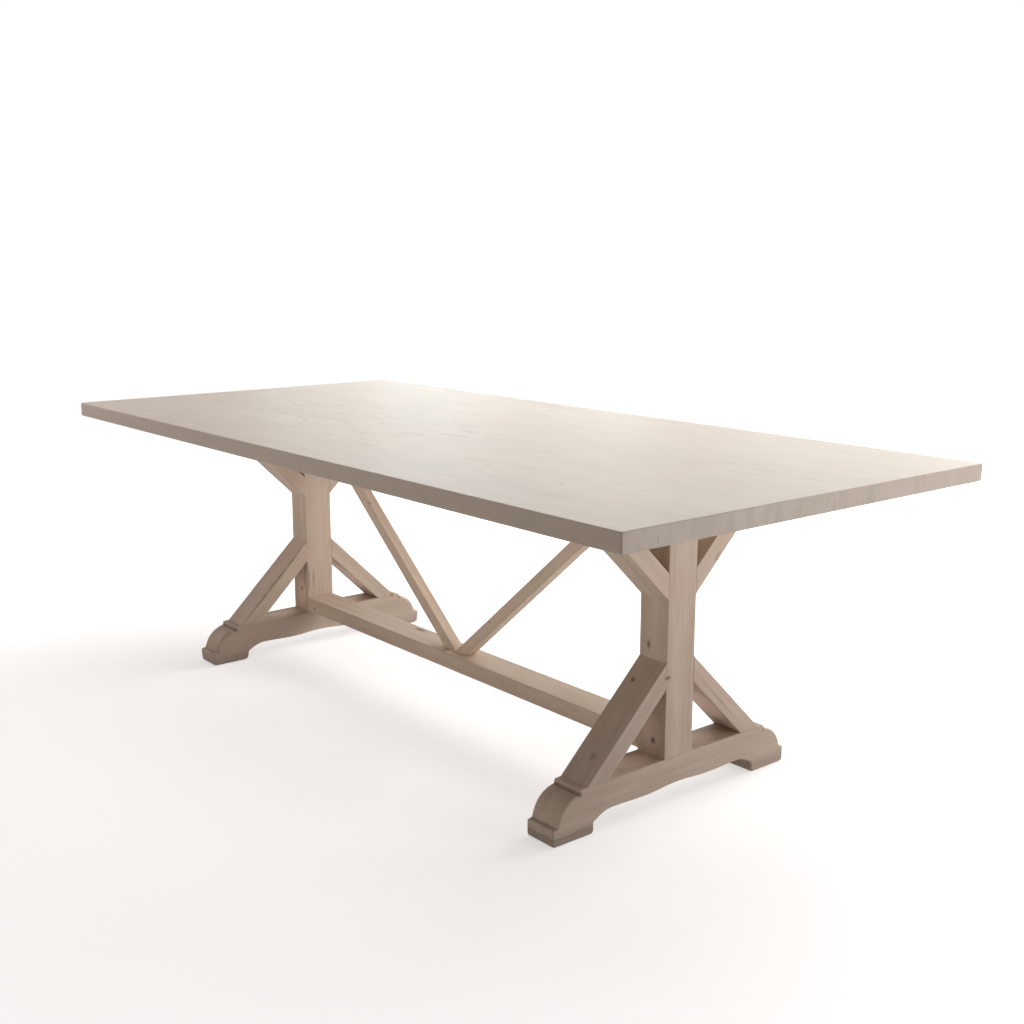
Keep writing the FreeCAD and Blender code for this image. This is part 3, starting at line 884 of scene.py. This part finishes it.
# How light each kind of timber is beside the others, right and left: partly its own tone, partly
# painted light and shade for how much light reaches it
SHADES = {"foot": (0.97, 0.89), "post": (1.00, 1.05), "bearer": (1.0, 1.0),
          "lower_brace_front": (0.87, 0.96), "lower_brace_back": (1.02, 0.99),
          "upper_brace_front": (1.05, 1.05), "upper_brace_back": (1.05, 1.06),
          "strut": (1.24, 1.26)}
# the stretcher's, likewise partly its tone and partly painted light
STRETCHER_SHADE = 1.10
FIRST_SEEDS = (10, 20)      # of the right and the left timbers
STRETCHER_SEED = 40
GRAIN = {"post": AXES[Z], "bearer": AXES[Y]}    # in the others it follows their longest side

# Bark edges. The brace's comes and goes, and the post's is a single leaf
BRACE_WANE = (0.12, 1.7, 0.45)  # what is always there, and what coarse and fine waves add
BRACE_WAVES = (14.0, 70.0)      # of those waves per metre
LEAF_HEIGHT = 0.215             # of its middle
LEAF_REACH = 0.038              # from there up and down
LEAF_FULLNESS = 0.6             # the smaller, the blunter its ends


def brace_wane(co):
    """Share of WANE_WIDTH that the bark edge has at a place on the left front lower brace."""
    least, coarse, fine = BRACE_WANE
    waves = [abs(noise.noise(co * scale)) for scale in BRACE_WAVES]
    return min(1.0, least + coarse * waves[0] + fine * waves[1])


def post_wane(co):
    """The same for the leaf low on the left post, on an arris that is otherwise only eased."""
    leaf = max(0.0, 1 - ((co.z - LEAF_HEIGHT) / LEAF_REACH) ** 2)
    return min(1.0, ARRIS / WANE_WIDTH + leaf ** LEAF_FULLNESS)


WANES = {"left_lower_brace_front": (AXES[Z] - AXES[Y], brace_wane),
         "left_post": (-AXES[Y], post_wane)}
HEADS = {"bearer": screw_heads("bearer_screws"), "strut": screw_heads("strut_head_screws")}

for number in range(1, BOARDS + 1):
    board(number, top_pine)

for side_number, (side, wood) in enumerate((("right", right_pine), ("left", left_pine))):
    for seed, (kind, shades) in enumerate(SHADES.items(), start=FIRST_SEEDS[side_number]):
        node, shade = f"{side}_{kind}", shades[side_number]
        if kind == "foot":
            foot(side, wood, seed, shade)
            continue
        axis, pine_here = (Y, left_pine) if kind == "strut" else (X, wood)
        timber(node, axis, GRAIN.get(kind) or longest_side(node, axis), pine_here, seed, shade,
               all_round=kind == "bearer", heads=HEADS.get(kind, ()), wane=WANES.get(node))
timber("stretcher", Y, AXES[X], left_pine, STRETCHER_SEED, STRETCHER_SHADE,
       heads=screw_heads("strut_foot_screws"))

for name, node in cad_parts.items():
    if name.startswith("spline") or name.endswith("screws"):
        for material_slot in node.material_slots:
            material_slot.material = spline_pine if name.startswith("spline") else steel


# ---- Stage, light and camera --------------------------------------------------------

WHITE = (1, 1, 1, 1)
FLOOR_RADIUS = 14.0
FLOOR_SIDES = 96
FLOOR_COLOUR = (0.78, 0.80, 0.82, 1)
FLOOR_GLOW = (0.55, 1.0)    # near the table, where its shadow lies, and far from it
GLOW_REACH = (1.2, 3.6)
AMBIENT = (0.62, 0.60, 0.58, 1)
AMBIENT_STRENGTH = 0.01

LAMP_AIM = Vector((0, 0, 0.45))
LAMPS = (                   # name, place, size, power and tint
    ("back", (0.6, 4.2, 1.8), (2.8, 2.8), 138.0, (1.0, 0.89, 0.84)),
    ("back_left", (-0.9, 3.8, 1.8), (2.4, 2.4), 13.0, (0.84, 1.0, 0.96)),
    ("window", (-4.1, 3.1, 1.4), (2.6, 2.6), 26.0, (0.87, 1.0, 0.99)),
    ("window_bright", (-3.84, 2.71, 1.5), (0.8, 2.4), 7.0, (0.83, 0.99, 1.0)),
    ("sill", (0.0, 2.1, 1.7), (4.0, 1.2), 15.8, (0.97, 1.0, 0.95)),
    ("overhead", (-0.4, 0.6, 3.6), (3.5, 3.5), 60.0, (1.0, 0.90, 0.85)),
    ("left_low", (-3.8, -0.8, 1.2), (1.4, 1.4), 29.4, (1.0, 0.75, 0.69)),
    ("front_low", (0.3, -3.8, 0.5), (3.0, 0.8), 28.0, (1.0, 0.89, 0.79)),
    ("end", (3.4, 1.6, 0.8), (1.2, 1.2), 37.4, (1.0, 0.93, 0.90)),
)

LENS = 44.698
SENSOR = 36.0
CAMERA_PLACE = (2.6310, -1.99088, 1.21625)
YAW, PITCH, ROLL = (math.radians(a) for a in (50.4463, 11.6298, 0.0650))


def seen_directly(t):
    """1 for camera, glossy and transmission rays, which see the white background."""
    path = t.node("LightPath").outputs
    seen = t.math("MAXIMUM", path["Is Camera Ray"], path["Is Glossy Ray"])
    return t.math("MAXIMUM", seen, path["Is Transmission Ray"])


def softbox(name, place, size, power, tint):
    """A rectangular lamp that looks at the table."""
    light = bpy.data.lights.new(name, "AREA")
    light.shape = "RECTANGLE"
    light.size, light.size_y = size
    light.energy = power
    light.color = tint
    aim = (LAMP_AIM - Vector(place)).to_track_quat("-Z", "Y")
    add_object(name, light).matrix_world = Matrix.Translation(place) @ aim.to_matrix().to_4x4()


floor_bm = bmesh.new()
bmesh.ops.create_circle(floor_bm, cap_ends=True, segments=FLOOR_SIDES, radius=FLOOR_RADIUS)
floor_mesh = bpy.data.meshes.new("floor")
floor_bm.to_mesh(floor_mesh)
floor_bm.free()
floor = add_object("floor", floor_mesh)
floor_paint = bpy.data.materials.new("pale_floor")
paint = Tree(floor_paint)
away = paint.vector("LENGTH", paint.node("TexCoord").outputs["Object"])
glow = paint.math("MULTIPLY", seen_directly(paint), paint.ramp(away, *GLOW_REACH, *FLOOR_GLOW))
paint.finish(Base_Color=FLOOR_COLOUR, Roughness=0.9, Specular_IOR_Level=0.0, Emission_Color=WHITE,
             Emission_Strength=glow)
floor_mesh.materials.append(floor_paint)

world = bpy.data.worlds.new("studio")
bpy.context.scene.world = world
sky = Tree(world)
sky.tree.nodes.clear()
ambient = sky.node("Background", {"Color": AMBIENT, "Strength": AMBIENT_STRENGTH}).outputs[0]
backdrop = sky.node("Background", {"Color": WHITE, "Strength": 1.0}).outputs[0]
shown = sky.node("MixShader", {0: seen_directly(sky), 1: ambient, 2: backdrop}).outputs[0]
sky.node("OutputWorld", {"Surface": shown})

for lamp in LAMPS:
    softbox(*lamp)

camera_data = bpy.data.cameras.new("camera")
camera_data.lens = LENS
camera_data.sensor_width = SENSOR
camera = add_object("camera", camera_data)
camera.matrix_world = (Matrix.Translation(CAMERA_PLACE) @ Matrix.Rotation(YAW, 4, "Z")
                       @ Matrix.Rotation(math.pi / 2 - PITCH, 4, "X")
                       @ Matrix.Rotation(ROLL, 4, "Z"))
bpy.context.scene.camera = camera

bpy.context.scene.view_settings.view_transform = "Standard"
